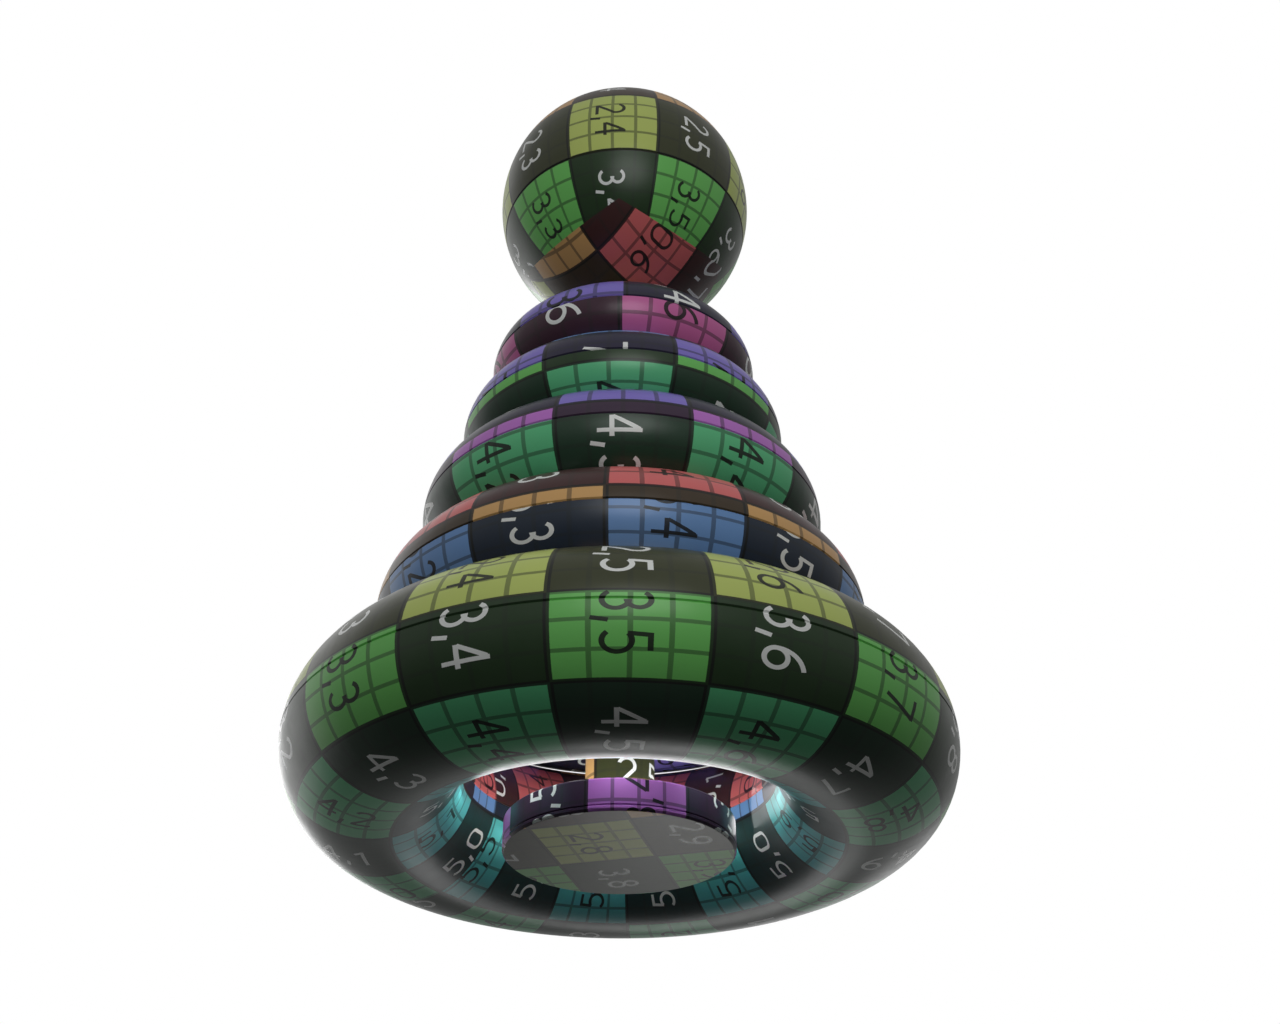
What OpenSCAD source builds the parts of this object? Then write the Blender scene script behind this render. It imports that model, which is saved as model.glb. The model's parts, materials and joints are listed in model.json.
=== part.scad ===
// Ring tower puzzle: five hollow rings of falling size stacked round a post
// that stands on a small round base and is topped by a pull-off ball.
// Millimetres, +Z up, origin at the centre of the underside of the base.

/* [Rings, largest first] */
// Outer diameter of ring 5, the largest, which lies on the table
ring_5_od = 122.6; // [120:0.2:125]
// Thickness of ring 5 through its round section
ring_5_tube = 33.2; // [32:0.2:34]
// Outer diameter of ring 4
ring_4_od = 94.5; // [92:0.2:97]
// Thickness of ring 4
ring_4_tube = 25.2; // [24:0.2:26]
// Outer diameter of ring 3
ring_3_od = 80.6; // [78:0.2:83]
// Thickness of ring 3
ring_3_tube = 22.8; // [22:0.2:24]
// Outer diameter of ring 2
ring_2_od = 67.2; // [65:0.2:69]
// Thickness of ring 2
ring_2_tube = 20.1; // [19:0.1:21]
// Outer diameter of ring 1, the smallest
ring_1_od = 56.9; // [55:0.1:59]
// Thickness of ring 1
ring_1_tube = 17.5; // [17:0.1:18]

/* [Post and base] */
// Diameter of the post
post_d = 12.7; // [12:0.1:13]
// Height of the post's tip above the table
post_top = 152; // [150:1:158]
// Diameter of the base disc
base_d = 41.5; // [40:0.5:43]
// Height of the base disc with its cover
base_h = 5.9; // [5.9:0.1:8]

/* [Ball] */
// Diameter of the ball
ball_d = 58.7; // [56:0.1:60]
// Depth of the ball's socket, measured from the bottom of the sphere
socket_depth = 21.35; // [20:0.05:23]

/* [Mouldings] */
// Wall thickness of the ring and ball shells
wall = 2; // [1.6:0.1:2.4]
// Width of the V groove at each parting line
groove = 0.5; // [0.3:0.1:0.8]
// Gap left between a ring and the one it rests on
rest_gap = 0.25; // [0.2:0.05:0.4]

/* [Hidden] */
$fn = 96;
fit = 0.05;          // gap between two parts of one moulding joint
slide_fit = 0.08;    // radial gap between the post's tip and the ball's socket
over = 1;            // how far a cutter runs past the surface it cuts
lip_h = 1.6;         // height of the lip that locates one shell in the other
lip_root = 0.4;      // how far the lip runs down into the wall that carries it

// Ring sizes in one list, ring 1 first
ring_od = [ring_1_od, ring_2_od, ring_3_od, ring_4_od, ring_5_od];
ring_tube = [ring_1_tube, ring_2_tube, ring_3_tube, ring_4_tube, ring_5_tube];
ring_count = len(ring_od);

function tube_r(n) = ring_tube[n - 1] / 2;
function pitch_r(n) = ring_od[n - 1] / 2 - tube_r(n);

// Height of a ring's parting plane. The largest lies on the table, and each
// smaller one nests in the hollow of the ring below it.
function ring_z(n) =
    n == ring_count ? tube_r(n) : ring_z(n + 1) + nest_rise(n);
function nest_rise(n) =
    sqrt(pow(tube_r(n) + tube_r(n + 1) + rest_gap, 2)
         - pow(pitch_r(n + 1) - pitch_r(n), 2));

post_r = post_d / 2;
ball_r = ball_d / 2;
ball_z = post_top + rest_gap - socket_depth + ball_r;

// Base: the disc is a shallow cup, closed below by the cover
base_r = base_d / 2;
cover_t = 1;
web_t = 2;
web_z = base_h - web_t;
cup_r = 16;
cover_lip_h = 1.2;
cover_lip_t = 2;
edge = 0.4;

// Post foot, clamped to the base's web by a washer and a screw
spigot_r = 4.5;
spigot_gap = 0.1;    // the spigot ends this far inside the web, so the washer clamps
washer_r = 6;
washer_t = 0.8;
screw_r = 2;
screw_head_r = 3.6;
screw_head_h = 1.9;
screw_len = 11;
recess_w = 0.9;
recess_len = 3.8;
recess_depth = 1.2;
insert_r = 3;
insert_len = 9;
insert_groove = 0.4;
post_bore_r = 4.2;
post_floor = 18;     // the post is solid below this height

// Post tip: a plug in the top of the tube, with a groove for the grip ring
tip_h = 12;
tip_plug_h = 10;
tip_round = 1.5;
grip_wire_r = 0.9;
grip_z = post_top - 5;
grip_pitch_r = post_r + fit - grip_wire_r;

// Ball: a dome that is open below, closed by a bowl-shaped cap with the socket in it
ball_part_angle = 17.4;
ball_part_z = -ball_r * sin(ball_part_angle);
socket_r = post_r + slide_fit;
socket_top = post_top + rest_gap - ball_z;
socket_end_t = 2;
socket_lead = 0.6;   // chamfer round the socket's mouth
cap_lip_t = 1.6;
cap_lip_h = 4;

// ---------------------------------------------------------------- helpers

// A rectangle from its low and high corners
module rect(low, high) {
    translate(low) square(high - low);
}

// A ring-shaped solid of rectangular section
module tube(r_in, r_out, z_low, z_high) {
    rotate_extrude() rect([r_in, z_low], [r_out, z_high]);
}

// A square on its corner, which cuts a V groove of the given width
module v_mark(x, z, width) {
    translate([x, z]) rotate(45) square(width / sqrt(2), center = true);
}

// ------------------------------------------------------------------ rings

// Section of a ring's hollow wall, about its parting plane at height 0
module ring_wall(n) {
    translate([pitch_r(n), 0]) difference() {
        circle(tube_r(n));
        circle(tube_r(n) - wall);
    }
}

// The two lips on a lower shell, on the hidden half of its wall
module ring_lips(n) {
    lip_t = wall / 2 - fit;
    for (side = [-1, 1])
        translate([pitch_r(n) + side * (tube_r(n) - wall + lip_t / 2), 0])
            rect([-lip_t / 2, -lip_root], [lip_t / 2, lip_h]);
}

// The rebates in an upper shell that take the lips
module ring_rebates(n) {
    for (side = [-1, 1])
        translate([pitch_r(n) + side * (tube_r(n) - wall), 0])
            rect([-wall / 2, -over], [wall / 2, lip_h + fit]);
}

// The half plane above (side 1) or below (side -1) the parting plane
module ring_side(n, side) {
    reach = pitch_r(n) + tube_r(n) + over;
    rect([0, side > 0 ? 0 : -reach], [reach, side > 0 ? reach : 0]);
}

module ring_grooves(n) {
    v_mark(pitch_r(n) + tube_r(n), 0, groove);
    v_mark(pitch_r(n) - tube_r(n), 0, groove);
}

module ring_lower_shell(n) {
    translate([0, 0, ring_z(n)]) rotate_extrude() {
        difference() {
            intersection() {
                ring_wall(n);
                ring_side(n, -1);
            }
            ring_grooves(n);
        }
        ring_lips(n);
    }
}

module ring_upper_shell(n) {
    translate([0, 0, ring_z(n)]) rotate_extrude() difference() {
        intersection() {
            ring_wall(n);
            ring_side(n, 1);
        }
        ring_grooves(n);
        ring_rebates(n);
    }
}

// ------------------------------------------------------------------- base

module base_disc() {
    color("rebeccapurple") rotate_extrude() difference() {
        polygon([[spigot_r + fit, cover_t],
                 [base_r - edge / 2, cover_t],
                 [base_r, cover_t + edge / 2],
                 [base_r, base_h - edge],
                 [base_r - edge, base_h],
                 [spigot_r + fit, base_h]]);
        rect([0, 0], [cup_r, web_z]);
    }
}

module base_cover() {
    color("darkolivegreen") rotate_extrude() {
        polygon([[0, 0],
                 [base_r - edge, 0],
                 [base_r, edge],
                 [base_r, cover_t - edge / 2],
                 [base_r - edge / 2, cover_t],
                 [0, cover_t]]);
        rect([cup_r - cover_lip_t, cover_t / 2], [cup_r - fit, cover_t + cover_lip_h]);
    }
}

// ------------------------------------------------------------------- post

module post() {
    color("olive") difference() {
        union() {
            translate([0, 0, base_h]) cylinder(r = post_r, h = post_top - tip_h - base_h);
            translate([0, 0, web_z + spigot_gap]) cylinder(r = spigot_r, h = web_t);
        }
        cylinder(r = insert_r, h = web_z + spigot_gap + insert_len);
        cylinder(r = screw_r + fit, h = post_floor + over);
        translate([0, 0, post_floor]) cylinder(r = post_bore_r, h = post_top);
    }
}

module post_tip() {
    low = post_top - tip_h;
    color("olive") rotate_extrude() difference() {
        union() {
            rect([0, low], [post_r, post_top - tip_round]);
            rect([0, low], [post_r - tip_round, post_top]);
            intersection() {
                translate([post_r - tip_round, post_top - tip_round]) circle(tip_round);
                rect([0, low], [post_r, post_top]);
            }
            rect([0, low - tip_plug_h], [post_bore_r, low + over]);
        }
        translate([grip_pitch_r, grip_z]) circle(grip_wire_r + fit);
        rect([grip_pitch_r, grip_z - grip_wire_r - fit], [post_r + over, grip_z + grip_wire_r + fit]);
    }
}

module grip_ring() {
    color("black") translate([0, 0, grip_z]) rotate_extrude()
        translate([grip_pitch_r, 0]) circle(grip_wire_r);
}

module post_insert() {
    low = web_z + spigot_gap;
    color("goldenrod") rotate_extrude() difference() {
        rect([screw_r, low], [insert_r, low + insert_len]);
        for (share = [0.25, 0.5, 0.75])
            translate([insert_r, low + insert_len * share])
                circle(insert_groove, $fn = 24);
    }
}

module post_washer() {
    color("silver") tube(screw_r + 0.2, washer_r, web_z - washer_t, web_z);
}

module post_screw() {
    head_top = web_z - washer_t;
    color("silver") difference() {
        union() {
            translate([0, 0, head_top - screw_head_h]) cylinder(r = screw_head_r, h = screw_head_h);
            translate([0, 0, head_top - over / 2])
                cylinder(r = screw_r - fit / 2, h = screw_len + over / 2);
        }
        for (turn = [0, 90])
            rotate(turn)
                translate([-recess_len / 2, -recess_w / 2, head_top - screw_head_h - over])
                    cube([recess_len, recess_w, recess_depth + over]);
    }
}

// ------------------------------------------------------------------- ball

// Section of the hollow sphere's wall about the ball's centre
module ball_wall() {
    intersection() {
        difference() {
            circle(ball_r);
            circle(ball_r - wall);
        }
        rect([0, -ball_r], [ball_r, ball_r]);
    }
}

// The groove where shell and cap meet, on the sphere at the parting plane
module ball_groove() {
    v_mark(ball_r * cos(ball_part_angle), ball_part_z, groove);
}

module ball_shell() {
    color("darkgreen") translate([0, 0, ball_z]) rotate_extrude() difference() {
        ball_wall();
        rect([-over, -ball_r - over], [ball_r, ball_part_z]);
        ball_groove();
    }
}

module ball_cap() {
    inner_r = sqrt(pow(ball_r - wall, 2) - pow(ball_part_z, 2));
    lip_r = inner_r - fit;
    socket_wall_r = socket_r + wall;
    mouth_z = -sqrt(pow(ball_r, 2) - pow(socket_r, 2));
    root_z = -sqrt(pow(ball_r, 2) - pow(socket_wall_r, 2));
    color("forestgreen") translate([0, 0, ball_z]) rotate_extrude() difference() {
        union() {
            difference() {
                ball_wall();
                rect([-over, ball_part_z], [ball_r + over, ball_r + over]);
            }
            rect([lip_r - cap_lip_t, ball_part_z - wall], [lip_r, ball_part_z + cap_lip_h]);
            rect([0, root_z], [socket_wall_r, socket_top + socket_end_t]);
        }
        rect([-over, -ball_r - over], [socket_r, socket_top]);
        v_mark(socket_r, mouth_z, socket_lead * 2);
        ball_groove();
    }
}

// --------------------------------------------------------------- the parts

base_disc();
base_cover();
post();
post_tip();
grip_ring();
post_insert();
post_washer();
post_screw();
color("seagreen") ring_lower_shell(5);  // ring_5_lower_shell
color("yellowgreen") ring_upper_shell(5);  // ring_5_upper_shell
color("steelblue") ring_lower_shell(4);  // ring_4_lower_shell
color("indianred") ring_upper_shell(4);  // ring_4_upper_shell
color("seagreen") ring_lower_shell(3);  // ring_3_lower_shell
color("mediumpurple") ring_upper_shell(3);  // ring_3_upper_shell
color("mediumseagreen") ring_lower_shell(2);  // ring_2_lower_shell
color("slateblue") ring_upper_shell(2);  // ring_2_upper_shell
color("mediumvioletred") ring_lower_shell(1);  // ring_1_lower_shell
color("slateblue") ring_upper_shell(1);  // ring_1_upper_shell
ball_cap();
ball_shell();
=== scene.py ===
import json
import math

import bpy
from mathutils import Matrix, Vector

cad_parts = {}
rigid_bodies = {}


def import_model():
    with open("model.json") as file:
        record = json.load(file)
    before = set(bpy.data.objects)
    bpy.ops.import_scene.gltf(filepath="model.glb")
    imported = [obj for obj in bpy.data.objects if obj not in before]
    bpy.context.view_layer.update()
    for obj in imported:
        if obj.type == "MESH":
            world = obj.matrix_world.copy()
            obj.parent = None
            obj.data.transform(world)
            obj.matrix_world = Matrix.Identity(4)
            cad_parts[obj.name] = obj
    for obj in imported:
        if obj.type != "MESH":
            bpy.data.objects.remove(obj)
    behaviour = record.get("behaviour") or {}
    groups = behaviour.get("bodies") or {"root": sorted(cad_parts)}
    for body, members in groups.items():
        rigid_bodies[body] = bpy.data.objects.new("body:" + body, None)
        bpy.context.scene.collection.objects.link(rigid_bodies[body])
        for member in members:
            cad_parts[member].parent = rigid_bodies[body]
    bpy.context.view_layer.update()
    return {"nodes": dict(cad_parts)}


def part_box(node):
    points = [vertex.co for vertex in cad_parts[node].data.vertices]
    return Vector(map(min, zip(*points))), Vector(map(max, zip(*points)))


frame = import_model()

# Looks of the stacking ring tower: gloss plastic rings, ball, base and post under a printed film
# of numbered tiles, with a steel screw and washer, a brass insert and a rubber grip ring inside.
# Every CAD node is shown as it is, with a procedural material in its slots. Lengths are in metres,
# apart from the material formulas, which work in millimetres and degrees.

MM_PER_M = 1000
RAD_TO_DEG = 180 / math.pi
RINGS = (5, 4, 3, 2, 1)  # the largest, at the bottom, to the smallest

# The print counts tiles across, round the piece, and along, down it or round a ring's tube. Colours
# follow the rows, which are counted along.

# The film on each half of a ring: the tile number across at the front, degrees per tile, and the
# tile number along at the outermost line of the tube, degrees per tile
RING_PRINT = {
    5: {"lower": (5.447, 23.5, 3.3167, -63), "upper": (5.447, 23.5, 3.0726, -62)},
    4: {"lower": (4.1133, 30, 6.396, -78.5), "upper": (4.1133, 30, 1.173, -78.5)},
    3: {"lower": (3.5, 36, 4.216, -107), "upper": (3.5, 36, 8.15, -107)},
    2: {"lower": (4.611, 45, 3.851, -99), "upper": (4.611, 45, 7.35, -99)},
    1: {"lower": (3.967, -51.4, 9.42, 150), "upper": (3.986, 51.4, 7.78, -150)},
}
# Degrees round the post where a film's ends meet, and up the tube where the upper film begins
RING_FILM_SEAM = {5: -122.5, 4: -180, 3: -180, 2: -180, 1: -180}
RING_FILM_EDGE = {5: 4.3, 4: 0, 3: 0, 2: 0, 1: 0}
TILE_MM = 17.8  # side of a tile where the film lies flat
SKIN_MM = 0.3  # depth of plastic that counts as the printed surface
WALL_SKIN_MM = 0.36  # the same on the base's wall

# Elsewhere a tile number is given where a turn or a height has some value, with its pitch: tile
# number, that value, degrees or mm per tile. Flat film has the tile numbers at its centre, x and y
# in mm, and the degrees that its tiles are turned by.

# The ball has a band of film round it, and flat pieces under its foot and on its crown. The foot's
# edge is a square that widens with depth; the crown begins at a height in degrees.
BALL_BAND = {"across": (4, -26.3, 41), "along": (2, 19.5, -36.9)}
BALL_FOOT = {"centre": (-6.02, -13.41), "across": 6, "along": 1, "turn": 45}
BALL_CROWN = {"centre": (-6.02, -13.41), "across": 6, "along": 0, "turn": 45}
FOOT_EDGE_TURN, FOOT_EDGE_SLOPE = 41.6, 0.865
CROWN_EDGE = 56.4

# The base: film laid flat on its underside, and a strip round its wall
DISC_FLAT = {"centre": (6.5, 0.3), "across": 9, "along": 3, "turn": -15.5}
DISC_WALL = {"across": (4, 33.4, -49.1), "along": (8.5, 1.85, TILE_MM)}

# The post's film lies with its rows upright, so that across counts up the post
POST_PRINT = {"across": (5.48, 13.3, TILE_MM), "along": (2, -44.6, 165)}

# Colours of the ten rows of tiles, as sRGB 0-255
TILE_HUES = (
    (226, 112, 112),
    (220, 172, 108),
    (196, 212, 112),
    (118, 208, 104),
    (98, 204, 142),
    (92, 196, 196),
    (112, 156, 214),
    (136, 120, 214),
    (198, 120, 214),
    (214, 108, 172),
)
TILE_ROWS = len(TILE_HUES)
DARK_TILE_SHARE = 0.07  # of the hue that is left in a dark tile
DARK_TILE_BASE = 0.004
RULE_SPACING = 0.25  # between the lines that divide a tile, in tiles
RULE_HALF = 0.017  # half their width
RULE_COLOUR = (36, 40, 36)
RULE_COVER = 0.3  # on a dark tile, and twice that on a bright one
EDGE_HALF = 0.02  # half width of the lines between tiles
EDGE_COVER = 0.85
INK_DARK = (12, 14, 12)
INK_PALE = (247, 250, 247)
INK_COVER = 0.96
FADED_FILM, FADE_MOST = (120, 122, 118), 0.10
BARE_PLASTIC = (60, 64, 58), (78, 82, 76)
GLOSS_ROUGHNESS = 0.24
WEAR_ROUGHNESS, SCRATCH_ROUGHNESS = 0.10, 0.06  # the most that each adds

# Numerals, on a box 1 high centred on 0, 0: straight strokes from end to end, and arcs given as
# centre, radius, middle direction and half extent, the last two in degrees
STROKE_HALF = 0.055
NUMERALS = {
    0: [("line", -0.245, -0.2, -0.245, 0.2), ("line", 0.245, -0.2, 0.245, 0.2),
        ("arc", 0, 0.2, 0.245, 90, 90), ("arc", 0, -0.2, 0.245, -90, 90)],
    1: [("line", 0.04, -0.5, 0.04, 0.5), ("line", -0.2, 0.3, 0.04, 0.45)],
    2: [("arc", 0, 0.2, 0.245, 62.5, 97.5), ("line", 0.19, 0.06, -0.25, -0.43),
        ("line", -0.28, -0.445, 0.27, -0.445)],
    3: [("arc", -0.02, 0.225, 0.22, 30, 120), ("arc", -0.02, -0.2, 0.245, -30, 120)],
    4: [("line", 0.1, 0.445, -0.27, -0.15), ("line", -0.3, -0.17, 0.3, -0.17),
        ("line", 0.13, 0.5, 0.13, -0.5)],
    5: [("line", -0.2, 0.445, 0.22, 0.445), ("line", -0.165, 0.5, -0.2, 0.03),
        ("arc", -0.02, -0.17, 0.275, -5, 135)],
    6: [("arc", 0, -0.2, 0.245, 0, 180), ("arc", 0.36, -0.16, 0.605, 142, 38)],
    7: [("line", -0.26, 0.445, 0.28, 0.445), ("line", 0.235, 0.445, -0.09, -0.5)],
    8: [("arc", 0, 0.235, 0.205, 0, 180), ("arc", 0, -0.205, 0.24, 0, 180)],
}
TURNED_SIX = 9  # drawn as a 6 turned half round
NUMERAL_HEIGHT = 0.33  # in tiles
# Places in the tile, in tiles: across for the numerals' mid height, along for the middle of each
NUMERAL_ACROSS = 0.477
FIRST_ALONG, COMMA_ALONG, SECOND_ALONG = 0.34, 0.505, 0.69
COMMA = (-0.045, -0.66, 0.03, -0.33)  # a stroke from end to end, in numeral heights

# The room's glow below and above, and the heights, as the sine of the elevation, between which it
# changes
GROUND_GLOW, SKY_GLOW = 0.045, 0.3
GLOW_CHANGE = (-0.5, 0.6)
# Soft patches of light far off round the object: azimuth (0 in front, + to the right), elevation
# and radius in degrees, and brightness
CARDS = {
    "behind": (180, 12, 75, 0.22),
    "rim_left": (-140, 22, 42, 0.5),
    "behind_left": (-158, 17, 15, 3.2),
    "left_low": (-128, -2, 26, 0.6),
    "behind_right": (164, 2, 17, 0.8),
}

# Lamps that light surfaces but don't show in reflections: place, point aimed at, diameter in
# metres, power in watts. The front one is the main light. The one in the well lights the hollow
# under the rings, which would be black.
LAMPS = {
    "front": ((0.018, -0.255, 0.132), (0, 0, 0.09), 0.13, 0.172),
    "well": ((0, 0, 0.0065), (0, 0, 1), 0.038, 0.013),
}
# Lamps that show in reflections only. They draw gleams on the fronts of all pieces, on the lower
# side of the largest ring, on its inner side and on the wall of the base.
GLINT_TARGET = (0.029, -0.0005, 0.0112)
GLEAMS = {
    "front_gleam": ((0.018, -0.255, 0.125), (0, 0, 0.09), 0.13, 0.085),
    "low_gleam": ((0.022, 0.18, -0.128), (0, 0, 0.01), 0.085, 0.034),
    "glint": ((0.0246, 0.0128, 0.0144), GLINT_TARGET, 0.008, 0.0003),
    "glint_halo": ((0.0245, 0.0131, 0.0145), GLINT_TARGET, 0.013, 0.0002),
    "wall_gleam": ((0.0229, 0.0002, 0.006), (0.01995, -0.0055, 0.0035), 0.0036, 7e-5),
}
# Rings of lamps in the gap between the base and the largest ring: azimuths, then radius and height
# of the lamps and of the points that they aim at. The first ring lights the well; the second draws
# the bright line on the lower inner edge of the largest ring, round its front and left.
WELL_RING = {
    "azimuths": range(0, 360, 45), "place": (0.0262, 0.0135), "target": (0.0178, 0),
    "diameter": 0.006, "power": 0.0014,
}
EDGE_RING = {
    "azimuths": range(-90, 55, 18), "place": (0.0228, 0.0045), "target": (0.0385, 0.0012),
    "diameter": 0.016, "power": 0.0008,
}

FLOOR_HALF, FLOOR_DROP = 12.0, 0.0004  # half its side, and how far below the object it lies
SQUARE = ((-1, -1), (1, -1), (1, 1), (-1, 1))
FLOOR_COLOURS = (112, 112, 111), (120, 120, 119)
FLOOR_ROUGHNESS = 0.7
FLOOR_GLOW = 0.83  # makes the floor pale without lighting the object

CAMERA_PLACE = (0.0, -0.240, -0.0898)
BACK_AZIMUTH = 180  # straight ahead of the camera, before its yaw
CAMERA_PITCH, CAMERA_YAW = 34.231, 0.8765  # degrees up, and toward +X
CAMERA_LENS, SENSOR_WIDTH = 39.564, 36  # in mm
CAMERA_CLIP_START = 0.01


# ------------------------------------------------------------------ formulas in a node tree


class Field:
    """A number that varies over a surface, worked out by a node tree, so that a formula for it
    can be written as a formula."""

    def __init__(self, tree, socket):
        self.tree, self.socket = tree, socket

    def maths(self, operation, *others):
        return maths(self.tree, operation, self, *others)

    def __add__(self, other):
        return self.maths("ADD", other)

    def __sub__(self, other):
        return self.maths("SUBTRACT", other)

    def __rsub__(self, other):
        return maths(self.tree, "SUBTRACT", other, self)

    def __mul__(self, other):
        return self.maths("MULTIPLY", other)

    def __truediv__(self, other):
        return self.maths("DIVIDE", other)

    def __neg__(self):
        return self * -1

    def __abs__(self):
        return self.maths("ABSOLUTE")

    def __lt__(self, other):
        return self.maths("LESS_THAN", other)

    def __gt__(self, other):
        return self.maths("GREATER_THAN", other)

    __radd__, __rmul__ = __add__, __mul__

    def at_most(self, other):
        return self.maths("MINIMUM", other)

    def at_least(self, other):
        return self.maths("MAXIMUM", other)

    def root(self):
        return self.maths("SQRT")

    def floor(self):
        return self.maths("FLOOR")

    def fraction(self):
        return self.maths("FRACT")

    def wrap(self, period):
        return self.maths("FLOORED_MODULO", period)

    def to_nearest(self, spacing):
        """Distance to the nearest whole multiple of spacing."""
        return self.maths("PINGPONG", spacing / 2)

    def turned(self, cosine_side, turn):
        """self*cos(turn) + cosine_side*sin(turn), one axis of a turned frame; turn in degrees."""
        angle = math.radians(turn)
        return self * math.cos(angle) + cosine_side * math.sin(angle)


def plug(tree, value, socket):
    """Joins a Field to an input socket, or sets the socket to a plain value."""
    if isinstance(value, Field):
        tree.links.new(value.socket, socket)
    elif isinstance(value, bpy.types.NodeSocket):
        tree.links.new(value, socket)
    else:
        socket.default_value = value


def maths(tree, operation, *values):
    """The Field that a Math node gives for those values, each a Field, a socket or a number."""
    node = tree.nodes.new("ShaderNodeMath")
    node.operation = operation
    for value, socket in zip(values, node.inputs):
        plug(tree, value, socket)
    return Field(tree, node.outputs[0])


def constant(tree, value):
    return maths(tree, "ADD", value, 0)


def direction(rise, run):
    """Direction of the point (run, rise), in degrees."""
    return maths(run.tree, "ARCTAN2", rise, run) * RAD_TO_DEG


def pick(mask, where_one, where_zero):
    """where_one where the mask is 1, and where_zero where it is 0."""
    return maths(mask.tree, "MULTIPLY_ADD", mask, where_one - where_zero, where_zero)


def socket_for_colour(sockets, name):
    """The Mix node has sockets of one name for each type of data; this is the colour one."""
    return next(s for s in sockets if s.name == name and s.type == "RGBA")


def mix_colours(tree, amount, first, second):
    node = tree.nodes.new("ShaderNodeMix")
    node.data_type = "RGBA"
    plug(tree, amount, node.inputs["Factor"])
    plug(tree, first, socket_for_colour(node.inputs, "A"))
    plug(tree, second, socket_for_colour(node.inputs, "B"))
    return socket_for_colour(node.outputs, "Result")


def linear(srgb):
    """A colour given as sRGB 0-255, as the linear RGBA that sockets take."""
    parts = [c / 255 for c in srgb]
    return (*[c / 12.92 if c <= 0.04045 else ((c + 0.055) / 1.055) ** 2.4 for c in parts], 1.0)


def noise(tree, scale, detail=2.0, stretch=(1, 1, 1)):
    """Noise over the piece, 0 to 1; scale is in features per millimetre, times stretch."""
    coordinates = tree.nodes.new("ShaderNodeTexCoord")
    mapping = tree.nodes.new("ShaderNodeMapping")
    mapping.inputs["Scale"].default_value = [s * MM_PER_M for s in stretch]
    texture = tree.nodes.new("ShaderNodeTexNoise")
    texture.inputs["Scale"].default_value = scale
    texture.inputs["Detail"].default_value = detail
    tree.links.new(coordinates.outputs["Object"], mapping.inputs["Vector"])
    tree.links.new(mapping.outputs["Vector"], texture.inputs["Vector"])
    return Field(tree, texture.outputs["Fac"])


def millimetres(tree):
    """x, y and z of the surface point in the object's frame, with the piece at rest."""
    coordinates = tree.nodes.new("ShaderNodeTexCoord")
    scaled = tree.nodes.new("ShaderNodeVectorMath")
    scaled.operation = "SCALE"
    scaled.inputs["Scale"].default_value = MM_PER_M
    parts = tree.nodes.new("ShaderNodeSeparateXYZ")
    tree.links.new(coordinates.outputs["Object"], scaled.inputs[0])
    tree.links.new(scaled.outputs[0], parts.inputs[0])
    return [Field(tree, parts.outputs[i]) for i in range(3)]


def new_group(name, inputs, outputs):
    """A node group with those inputs and outputs, given as {name: socket type}. Returns its tree,
    its inputs as Fields, and its output node."""
    tree = bpy.data.node_groups.new(name, "ShaderNodeTree")
    for side, sockets in (("INPUT", inputs), ("OUTPUT", outputs)):
        for socket, kind in sockets.items():
            tree.interface.new_socket(socket, in_out=side, socket_type=kind)
    start, end = tree.nodes.new("NodeGroupInput"), tree.nodes.new("NodeGroupOutput")
    return tree, [Field(tree, s) for s in list(start.outputs)[: len(inputs)]], end


def use_group(tree, group, *values):
    node = tree.nodes.new("ShaderNodeGroup")
    node.node_tree = group
    for value, socket in zip(values, node.inputs):
        plug(tree, value, socket)
    return node.outputs


# ------------------------------------------------------------------ the printed film


def line_distance(x, y, x0, y0, x1, y1):
    """Distance from the middle line of a straight stroke with square ends."""
    turn = math.degrees(math.atan2(y1 - y0, x1 - x0))
    across, up = x - (x0 + x1) / 2, y - (y0 + y1) / 2
    past_end = abs(across.turned(up, turn)) - (math.dist((x0, y0), (x1, y1)) / 2 - STROKE_HALF)
    return abs(up.turned(-across, turn)).at_least(past_end)


def arc_distance(x, y, x0, y0, radius, middle, half):
    """The same for a stroke along an arc; half is its half extent, and 180 is the whole circle."""
    across, up = x - x0, y - y0
    off_line = abs((across * across + up * up).root() - radius)
    if half >= 180:
        return off_line
    swing = abs((direction(up, across) - (middle - 180)).wrap(360) - 180)
    past_end = (swing - half) * (radius / RAD_TO_DEG) + STROKE_HALF
    return off_line.at_least(past_end)


def numeral_group():
    """Ink, 1 or 0, of the numeral that Digit names, at X, Y on its box."""
    tree, (x, y, digit), end = new_group(
        "numeral",
        {"X": "NodeSocketFloat", "Y": "NodeSocketFloat", "Digit": "NodeSocketFloat"},
        {"Ink": "NodeSocketFloat"},
    )
    is_nine = digit > TURNED_SIX - 0.5
    x, y = x * (1 - 2 * is_nine), y * (1 - 2 * is_nine)
    digit = pick(is_nine, 6, digit)
    distance = constant(tree, 0)
    for value, strokes in NUMERALS.items():
        nearest = None
        for kind, *numbers in strokes:
            shape = line_distance if kind == "line" else arc_distance
            found = shape(x, y, *numbers)
            nearest = found if nearest is None else nearest.at_most(found)
        chosen = digit.maths("COMPARE", value, 0.5)
        distance = maths(tree, "MULTIPLY_ADD", chosen, nearest, distance)
    plug(tree, distance < STROKE_HALF, end.inputs["Ink"])
    return tree


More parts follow.
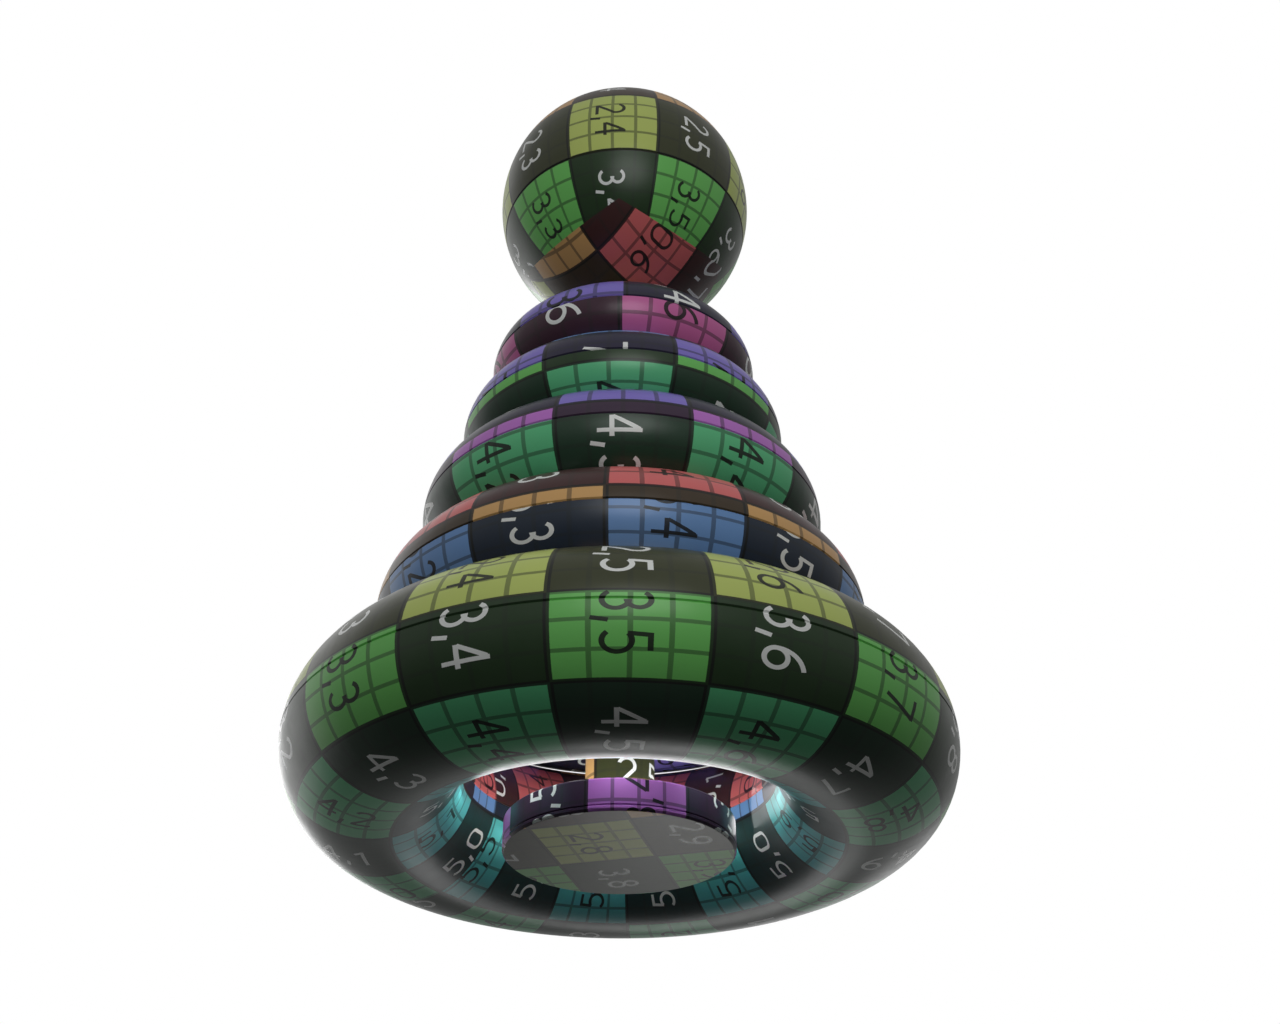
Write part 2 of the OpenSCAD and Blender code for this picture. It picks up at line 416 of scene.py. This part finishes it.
def tile_group(numeral):
    """Colour of the print at the tile numbers Across and Along."""
    tree, (across, along), end = new_group(
        "tile_print",
        {"Across": "NodeSocketFloat", "Along": "NodeSocketFloat"},
        {"Colour": "NodeSocketColor"},
    )
    column, row = across.floor().wrap(TILE_ROWS), along.floor().wrap(TILE_ROWS)
    bright = 1 - (row + column).wrap(2)
    ramp = tree.nodes.new("ShaderNodeValToRGB")
    ramp.color_ramp.interpolation = "CONSTANT"
    spots = ramp.color_ramp.elements
    for i, hue in enumerate(TILE_HUES):
        spot = spots[i] if i < len(spots) else spots.new(i / TILE_ROWS)
        spot.position, spot.color = i / TILE_ROWS, linear(hue)
    plug(tree, (row + 0.5) / TILE_ROWS, ramp.inputs[0])
    hue = ramp.outputs[0]
    dark = mix_colours(tree, DARK_TILE_SHARE, (DARK_TILE_BASE,) * 3 + (1,), hue)
    colour = mix_colours(tree, bright, dark, hue)

    rule = across.to_nearest(RULE_SPACING).at_most(along.to_nearest(RULE_SPACING)) < RULE_HALF
    rule_cover = rule * (RULE_COVER + RULE_COVER * bright)
    colour = mix_colours(tree, rule_cover, colour, linear(RULE_COLOUR))
    edge = across.to_nearest(1).at_most(along.to_nearest(1)) < EDGE_HALF
    colour = mix_colours(tree, edge * EDGE_COVER, colour, linear(INK_DARK))

    x, y = along.fraction(), across.fraction()
    second = x > COMMA_ALONG
    glyph_x = (x - pick(second, SECOND_ALONG, FIRST_ALONG)) / NUMERAL_HEIGHT
    glyph_y = (y - NUMERAL_ACROSS) / NUMERAL_HEIGHT
    ink = Field(tree, use_group(tree, numeral, glyph_x, glyph_y, pick(second, column, row))[0])
    comma = line_distance((x - COMMA_ALONG) / NUMERAL_HEIGHT, glyph_y, *COMMA) < STROKE_HALF
    ink_colour = mix_colours(tree, bright, linear(INK_PALE), linear(INK_DARK))
    cover = ink.at_least(comma) * INK_COVER
    plug(tree, mix_colours(tree, cover, colour, ink_colour), end.inputs["Colour"])
    return tree


# ------------------------------------------------------------------ materials


def new_material(name):
    made = bpy.data.materials.new(name)
    made.use_nodes = True
    return made, made.node_tree, made.node_tree.nodes["Principled BSDF"]


def bump(tree, height, depth):
    """A surface normal from a height field, which runs from 0 to depth in millimetres."""
    node = tree.nodes.new("ShaderNodeBump")
    node.inputs["Distance"].default_value = depth / MM_PER_M
    plug(tree, height, node.inputs["Height"])
    return node.outputs["Normal"]


def film_plastic(name, print_formula, tile_print):
    """Gloss plastic whose outer skin carries the print. print_formula gives, on a node tree, the
    across and along tile numbers and a mask that is 1 on the printed skin."""
    made, tree, shader = new_material(name)
    across, along, printed = print_formula(tree)
    fade = noise(tree, scale=0.12, detail=3)
    film = use_group(tree, tile_print, across, along)[0]
    film = mix_colours(tree, fade * FADE_MOST, film, linear(FADED_FILM))
    bare = mix_colours(tree, noise(tree, scale=0.5), *map(linear, BARE_PLASTIC))
    plug(tree, mix_colours(tree, printed, bare, film), shader.inputs["Base Color"])
    wear = noise(tree, scale=0.35, detail=4)
    scratches = noise(tree, scale=1.2, stretch=(1, 1, 12))
    roughness = GLOSS_ROUGHNESS + WEAR_ROUGHNESS * wear + SCRATCH_ROUGHNESS * scratches
    plug(tree, roughness, shader.inputs["Roughness"])
    ripple = noise(tree, scale=0.8)
    plug(tree, bump(tree, ripple, depth=0.012), shader.inputs["Normal"])
    return made


def ring_formula(n):
    """Print formula of ring n. The film covers the outside of the tube, all the way round."""
    low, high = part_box(f"ring_{n}_lower_shell")[0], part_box(f"ring_{n}_upper_shell")[1]
    tube_r = (high.z - low.z) / 2 * MM_PER_M
    middle_z = (high.z + low.z) / 2 * MM_PER_M
    pitch_r = high.x * MM_PER_M - tube_r
    seam, edge = RING_FILM_SEAM[n], RING_FILM_EDGE[n]

    def formula(tree):
        x, y, z = millimetres(tree)
        turn = (direction(x, -y) - seam).wrap(360) + seam
        out, rise = (x * x + y * y).root() - pitch_r, z - middle_z
        tilt = direction(rise, out)
        on_upper = tilt > edge
        halves = []
        for half in ("lower", "upper"):
            across, across_pitch, along, along_pitch = RING_PRINT[n][half]
            halves.append((across + turn / across_pitch, along + tilt / along_pitch))
        (low_across, low_along), (up_across, up_along) = halves
        printed = (out * out + rise * rise).root() > tube_r - SKIN_MM
        return pick(on_upper, up_across, low_across), pick(on_upper, up_along, low_along), printed

    return formula


def tile_number(measure, number, start, pitch):
    """Tile number at a turn or height, from the one at start and the pitch of the tiles."""
    return number + (measure - start) / pitch


def flat_tiles(x, y, centre, across, along, turn):
    """Tile numbers of film that lies flat, seen along Z, with its tiles turned by turn degrees."""
    x, y = x - centre[0], y - centre[1]
    return across + x.turned(y, turn) / TILE_MM, along + y.turned(-x, turn) / TILE_MM


def ball_formula(tree):
    x, y, z = millimetres(tree)
    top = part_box("ball_shell")[1]
    radius = top.x * MM_PER_M
    rise = z - (top.z * MM_PER_M - radius)
    distance = (x * x + y * y + rise * rise).root()
    height = (rise / distance).maths("ARCSINE") * RAD_TO_DEG
    band_across = tile_number(direction(x, -y), *BALL_BAND["across"])
    band = band_across, tile_number(height, *BALL_BAND["along"])
    foot = flat_tiles(x, y, **BALL_FOOT)
    crown = flat_tiles(x, y, **BALL_CROWN)
    sideways = abs(x.turned(y, FOOT_EDGE_TURN)).at_least(abs(y.turned(-x, FOOT_EDGE_TURN)))
    on_foot, on_crown = sideways < -rise * FOOT_EDGE_SLOPE, height > CROWN_EDGE
    tiles = [pick(on_crown, c, pick(on_foot, f, b)) for b, f, c in zip(band, foot, crown)]
    return (*tiles, distance > radius - SKIN_MM)


def disc_formula(tree):
    x, y, z = millimetres(tree)
    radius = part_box("base_disc")[1].x * MM_PER_M
    wall_across = tile_number(direction(x, -y), *DISC_WALL["across"])
    wall = wall_across, tile_number(z, *DISC_WALL["along"])
    on_wall = (x * x + y * y).root() > radius - WALL_SKIN_MM
    tiles = [pick(on_wall, w, f) for w, f in zip(wall, flat_tiles(x, y, **DISC_FLAT))]
    return (*tiles, constant(tree, 1))


def post_formula(tree):
    x, y, z = millimetres(tree)
    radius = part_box("post")[1].x * MM_PER_M
    across = tile_number(z, *POST_PRINT["across"])
    along = tile_number(direction(x, -y), *POST_PRINT["along"])
    return across, along, (x * x + y * y).root() > radius - SKIN_MM


def zinc_steel():
    """Zinc-plated steel: dull silver with turning marks and a faint yellow cast in places."""
    made, tree, shader = new_material("zinc_steel")
    cast = noise(tree, scale=0.6, detail=3)
    silver, yellowed = linear((176, 180, 184)), linear((188, 180, 158))
    plug(tree, mix_colours(tree, cast, silver, yellowed), shader.inputs["Base Color"])
    shader.inputs["Metallic"].default_value = 1
    marks = noise(tree, scale=0.8, stretch=(1, 1, 14))
    plug(tree, 0.28 + 0.2 * marks, shader.inputs["Roughness"])
    plug(tree, bump(tree, marks, depth=0.01), shader.inputs["Normal"])
    return made


def insert_brass():
    """Brass, tarnished in patches, which are rougher."""
    made, tree, shader = new_material("insert_brass")
    tarnish = noise(tree, scale=0.7, detail=4)
    fresh, dull = linear((206, 172, 98)), linear((140, 108, 58))
    plug(tree, mix_colours(tree, tarnish, fresh, dull), shader.inputs["Base Color"])
    shader.inputs["Metallic"].default_value = 1
    plug(tree, 0.22 + 0.25 * tarnish, shader.inputs["Roughness"])
    plug(tree, bump(tree, noise(tree, scale=3), depth=0.01), shader.inputs["Normal"])
    return made


def grip_rubber():
    """Black rubber with a grey bloom."""
    made, tree, shader = new_material("grip_rubber")
    bloom = noise(tree, scale=0.9, detail=4)
    black, greyed = linear((22, 22, 23)), linear((52, 51, 50))
    plug(tree, mix_colours(tree, bloom, black, greyed), shader.inputs["Base Color"])
    plug(tree, 0.55 + 0.25 * bloom, shader.inputs["Roughness"])
    plug(tree, bump(tree, noise(tree, scale=4), depth=0.02), shader.inputs["Normal"])
    return made


def dress(material, *names):
    """Puts the material in every slot of those CAD nodes."""
    for name in names:
        for slot in frame["nodes"][name].material_slots:
            slot.material = material


def dress_all():
    """Gives every CAD node its material."""
    tiles = tile_group(numeral_group())
    for n in RINGS:
        film = film_plastic(f"ring_{n}_film", ring_formula(n), tiles)
        dress(film, f"ring_{n}_lower_shell", f"ring_{n}_upper_shell")
    dress(film_plastic("ball_film", ball_formula, tiles), "ball_cap", "ball_shell")
    dress(film_plastic("base_film", disc_formula, tiles), "base_disc", "base_cover")
    dress(film_plastic("post_film", post_formula, tiles), "post", "post_tip")
    dress(zinc_steel(), "post_screw", "post_washer")
    dress(insert_brass(), "post_insert")
    dress(grip_rubber(), "grip_ring")


# ------------------------------------------------------------------ the studio


def aim(azimuth, elevation):
    """Unit vector from the object towards that azimuth and elevation, in degrees."""
    a, e = math.radians(azimuth), math.radians(elevation)
    return Vector((math.sin(a) * math.cos(e), -math.cos(a) * math.cos(e), math.sin(e)))


def smooth_step(field, low, high):
    node = field.tree.nodes.new("ShaderNodeMapRange")
    node.interpolation_type = "SMOOTHSTEP"
    for name, value in (("Value", field), ("From Min", low), ("From Max", high)):
        plug(field.tree, value, node.inputs[name])
    return Field(field.tree, node.outputs["Result"])


def background(tree):
    node = tree.nodes.new("ShaderNodeBackground")
    node.inputs["Color"].default_value = (1, 1, 1, 1)
    return node


def studio_light():
    """A white backdrop that only the camera sees, and a dim room with soft patches of light."""
    world = bpy.data.worlds.new("studio")
    bpy.context.scene.world = world
    world.use_nodes = True
    tree = world.node_tree
    tree.nodes.clear()
    sight = tree.nodes.new("ShaderNodeTexCoord").outputs["Generated"]
    parts = tree.nodes.new("ShaderNodeSeparateXYZ")
    tree.links.new(sight, parts.inputs[0])
    height = Field(tree, parts.outputs[2])
    glow = GROUND_GLOW + (SKY_GLOW - GROUND_GLOW) * smooth_step(height, *GLOW_CHANGE)
    for azimuth, elevation, radius, brightness in CARDS.values():
        node = tree.nodes.new("ShaderNodeVectorMath")
        node.operation = "DOT_PRODUCT"
        tree.links.new(sight, node.inputs[0])
        node.inputs[1].default_value = aim(azimuth, elevation)
        cosine = Field(tree, node.outputs["Value"])
        glow = glow + brightness * smooth_step(cosine, math.cos(math.radians(radius)), 1)
    backdrop, room = background(tree), background(tree)
    plug(tree, glow, room.inputs["Strength"])
    either = tree.nodes.new("ShaderNodeMixShader")
    path = tree.nodes.new("ShaderNodeLightPath")
    tree.links.new(path.outputs["Is Camera Ray"], either.inputs[0])
    tree.links.new(room.outputs[0], either.inputs[1])
    tree.links.new(backdrop.outputs[0], either.inputs[2])
    tree.links.new(either.outputs[0], tree.nodes.new("ShaderNodeOutputWorld").inputs["Surface"])
    bpy.context.scene.view_settings.view_transform = "Standard"


def lamp(name, place, target, diameter, power, in_reflections, lit):
    """A round soft lamp that lights only what is in `lit`. The camera doesn't see it. It shows in
    reflections only, or lights surfaces and doesn't show in reflections."""
    data = bpy.data.lights.new(name, "AREA")
    data.shape, data.size, data.energy = "DISK", diameter, power
    made = bpy.data.objects.new(name, data)
    bpy.context.scene.collection.objects.link(made)
    made.location = place
    made.rotation_mode = "QUATERNION"
    made.rotation_quaternion = (Vector(target) - Vector(place)).to_track_quat("-Z", "Y")
    made.visible_camera = False
    made.visible_diffuse, made.visible_glossy = not in_reflections, in_reflections
    made.light_linking.receiver_collection = lit


def lamp_ring(name, azimuths, place, target, diameter, power, in_reflections, lit):
    """Lamps round the post; place and target are each a radius and a height."""
    for azimuth in azimuths:
        outward = aim(azimuth, 0)
        ends = [outward * radius + Vector((0, 0, height)) for radius, height in (place, target)]
        lamp(f"{name}_{azimuth}", *ends, diameter, power, in_reflections, lit)


def lamps():
    lit = bpy.data.collections.new("lit_by_lamps")
    for node in bpy.data.objects:
        if node.type == "MESH":
            lit.objects.link(node)
    for name, settings in LAMPS.items():
        lamp(name, *settings, False, lit)
    for name, settings in GLEAMS.items():
        lamp(name, *settings, True, lit)
    lamp_ring("well", **WELL_RING, in_reflections=False, lit=lit)
    lamp_ring("edge", **EDGE_RING, in_reflections=True, lit=lit)


def studio_floor():
    """A pale table top just under the object. It is clear from below, so that the underside shows,
    and neither shades the object nor shows in its reflections."""
    mesh = bpy.data.meshes.new("floor")
    corners = [(x * FLOOR_HALF, y * FLOOR_HALF, -FLOOR_DROP) for x, y in SQUARE]
    mesh.from_pydata(corners, [], [(0, 1, 2, 3)])
    floor = bpy.data.objects.new("floor", mesh)
    bpy.context.scene.collection.objects.link(floor)
    made, tree, shader = new_material("floor")
    grain = noise(tree, scale=0.05, detail=3)
    colour = mix_colours(tree, grain, *map(linear, FLOOR_COLOURS))
    plug(tree, colour, shader.inputs["Base Color"])
    shader.inputs["Roughness"].default_value = FLOOR_ROUGHNESS
    shader.inputs["Emission Color"].default_value = (1, 1, 1, 1)
    shader.inputs["Emission Strength"].default_value = FLOOR_GLOW
    clear = tree.nodes.new("ShaderNodeBsdfTransparent")
    either = tree.nodes.new("ShaderNodeMixShader")
    geometry = tree.nodes.new("ShaderNodeNewGeometry")
    tree.links.new(geometry.outputs["Backfacing"], either.inputs[0])
    tree.links.new(shader.outputs[0], either.inputs[1])
    tree.links.new(clear.outputs[0], either.inputs[2])
    tree.links.new(either.outputs[0], tree.nodes["Material Output"].inputs["Surface"])
    mesh.materials.append(made)
    floor.visible_diffuse = floor.visible_glossy = floor.visible_shadow = False
    floor.visible_transmission = False


def camera():
    data = bpy.data.cameras.new("camera")
    data.lens, data.sensor_width = CAMERA_LENS, SENSOR_WIDTH
    data.clip_start = CAMERA_CLIP_START
    made = bpy.data.objects.new("camera", data)
    bpy.context.scene.collection.objects.link(made)
    made.location = CAMERA_PLACE
    made.rotation_mode = "QUATERNION"
    made.rotation_quaternion = aim(BACK_AZIMUTH - CAMERA_YAW, CAMERA_PITCH).to_track_quat("-Z", "Y")
    bpy.context.scene.camera = made


dress_all()
studio_light()
lamps()
studio_floor()
camera()
